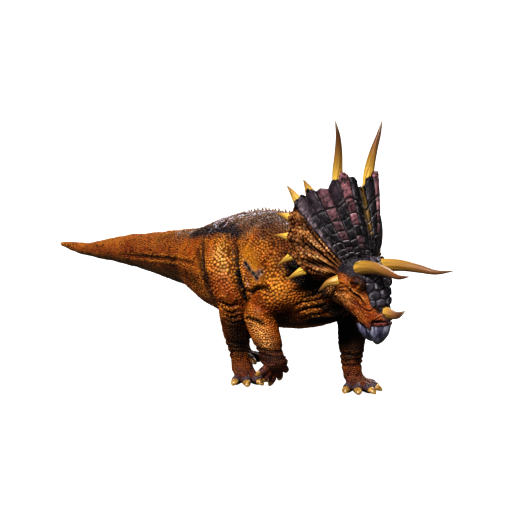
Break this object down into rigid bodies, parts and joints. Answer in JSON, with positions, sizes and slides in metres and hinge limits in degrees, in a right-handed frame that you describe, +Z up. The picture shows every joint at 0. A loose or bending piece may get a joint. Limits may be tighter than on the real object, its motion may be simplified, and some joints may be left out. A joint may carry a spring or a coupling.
{
  "type": "horned dinosaur, walking",
  "caption": "Life-size frilled, horned dinosaur in mid stride with one forefoot lifted, with long crown spikes, brow horns, a nose horn and a hooked beak; still, with no moving parts.",
  "frame": {"origin": "middle of the floor under the whole animal's box", "axes": "+X forward along the body towards the head, +Y to the animal's left, +Z up"},
  "size_m": [4.794, 1.0568, 2.24],
  "materials": {
    "hide": "scaly, orange-brown, satin",
    "frill_hide": "horny plates, purple-black and orange, satin",
    "horn": "horn, ochre with brown streaks, satin",
    "beak": "horny, blue-grey, glossy",
    "eye": "wet, dark red"
  },
  "bodies": {
    "root": {"torso": "hide", "neck": "hide", "tail_base": "hide", "tail_end": "hide", "head": "hide", "lower_jaw": "hide", "leg_hind_right": "hide", "leg_hind_left": "hide", "leg_fore_right": "hide", "leg_fore_left": "hide", "frill_crest": "frill_hide", "frill_side_right": "frill_hide", "frill_side_left": "frill_hide", "horn_brow_right": "horn", "horn_brow_left": "horn", "horn_cheek_right": "horn", "horn_cheek_left": "horn", "horn_nose": "horn", "spike_crown_right": "horn", "spike_crown_left": "horn", "beak_upper": "beak", "beak_lower": "beak", "eye_right": "eye", "eye_left": "eye"}
  },
  "joints": []
}
